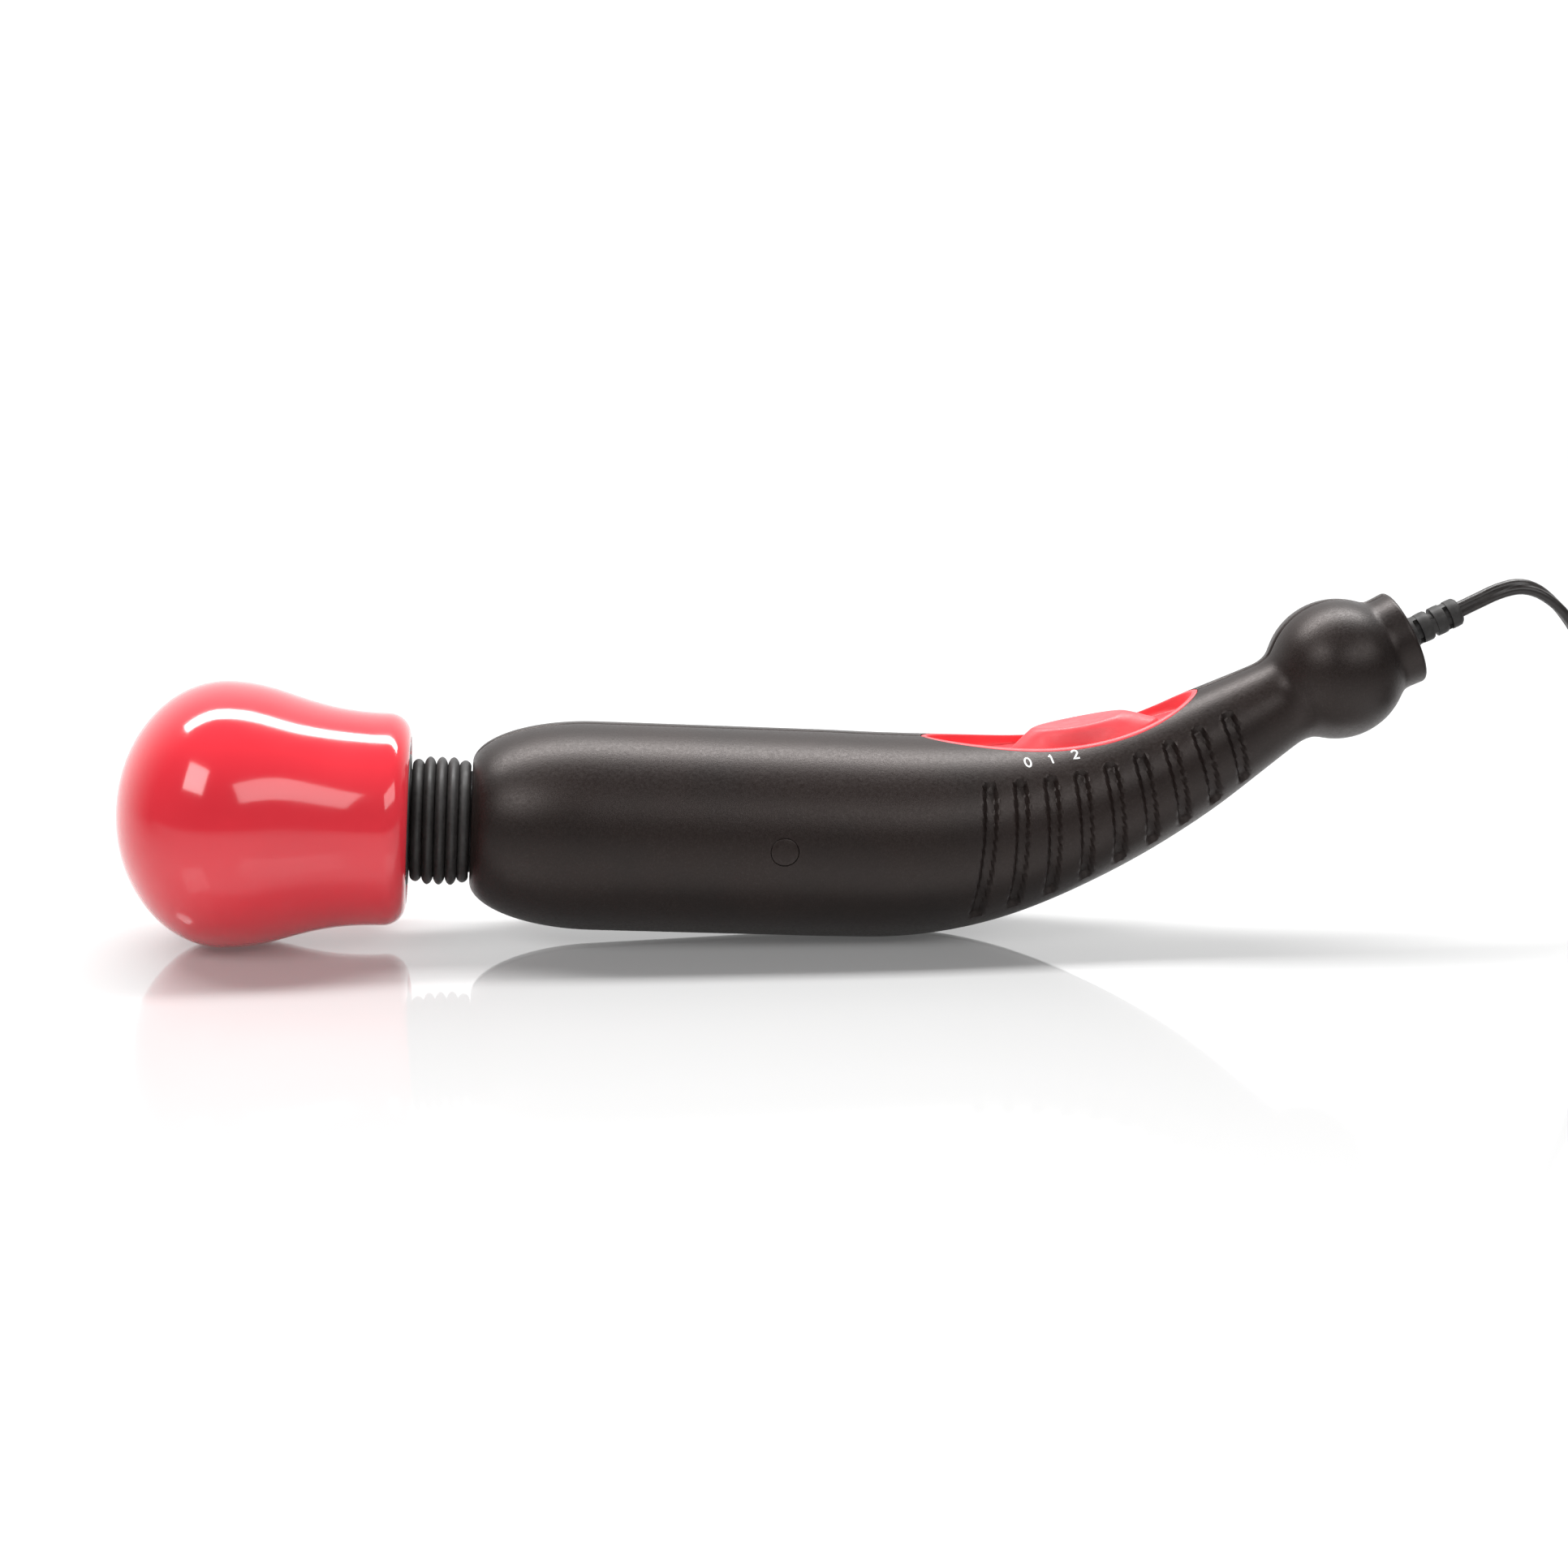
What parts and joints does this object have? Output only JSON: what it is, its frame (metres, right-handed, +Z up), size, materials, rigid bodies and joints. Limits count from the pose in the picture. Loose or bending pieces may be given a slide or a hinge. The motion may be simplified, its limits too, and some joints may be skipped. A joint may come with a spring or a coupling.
{
  "type": "wand massager",
  "caption": "Handheld wand massager with a glossy bulb head on a flexible ribbed neck, a curved two-shell handle with a slide switch, and a plug-in adapter lead.",
  "frame": {"origin": "on the surface that the wand lies on, under the middle of the box of the wand without its lead", "axes": "+X from the head to the tail, +Z up, the wand lying on its underside; the switch is on top"},
  "size_m": [0.4365, 0.0799, 0.0804],
  "materials": {
    "red_gloss": "polished",
    "red_satin": "satin",
    "black_shell": "fine spark-eroded grain",
    "black_plastic": "satin",
    "black_rubber": "matt",
    "lead_jacket": "satin vinyl",
    "red_wire": "satin vinyl",
    "steel": "plain",
    "screw_steel": "zinc plated",
    "bronze": "sintered",
    "ivory_plastic": "plain",
    "board_green": "solder mask",
    "blade_brass": "nickelled brass"
  },
  "bodies": {
    "handle": {"handle_left": "black_shell", "handle_right": "black_shell", "shell_screw_front": "screw_steel", "shell_screw_near": "screw_steel", "shell_screw_grip": "screw_steel", "shell_screw_ball": "screw_steel", "screw_plug": "black_shell", "switch_bezel": "red_satin", "slide_switch_case": "steel", "circuit_board": "board_green", "neck_rear_ferrule": "steel", "strain_relief": "black_rubber", "cord_lead": "lead_jacket", "cord_coil": "lead_jacket", "cord_tie": "black_rubber", "cord_adapter_lead": "lead_jacket", "adapter_strain_relief": "black_rubber", "adapter_front_case": "black_plastic", "adapter_back_case": "black_plastic", "adapter_blade_left": "blade_brass", "adapter_blade_right": "blade_brass"},
    "neck": {"neck_bellows": "black_rubber", "neck_spring": "steel", "motor_lead": "red_wire"},
    "head": {"head_cap": "red_gloss", "head_rear_plate": "black_plastic", "head_screw_1": "screw_steel", "head_screw_2": "screw_steel", "head_screw_3": "screw_steel", "motor_cradle": "black_plastic", "motor_boot": "black_rubber", "motor_can": "steel", "motor_end_cap": "ivory_plastic", "motor_bush": "bronze", "neck_front_ferrule": "steel"},
    "rotor": {"motor_shaft": "steel", "eccentric_weight": "steel"},
    "slider": {"speed_button": "red_satin", "slider_carrier": "black_plastic"}
  },
  "joints": [
    {"name": "neck_pitch", "type": "hinge", "parent": "handle", "child": "neck", "pos_m": [-0.07283, 0, 0.02681], "axis": [0, 1, 0], "range_deg": [-15, 15], "stiffness_Nm_per_rad": 2.5, "deforming": ["neck_bellows", "neck_spring", "motor_lead"]},
    {"name": "neck_yaw", "type": "hinge", "parent": "neck", "child": "head", "pos_m": [-0.07893, 0, 0.02708], "axis": [0.0427, 0, 0.9991], "range_deg": [-15, 15], "stiffness_Nm_per_rad": 2.5, "deforming": ["neck_bellows", "neck_spring", "motor_lead"]},
    {"name": "motor_spin", "type": "hinge", "parent": "head", "child": "rotor", "pos_m": [-0.12768, 0, 0.02916], "axis": [0.9991, 0, -0.0427], "continuous": true},
    {"name": "speed_slide", "type": "hinge", "parent": "handle", "child": "slider", "pos_m": [0.04498, 0, 0.1579], "axis": [0, 1, 0], "range_deg": [0, 4.92]}
  ]
}
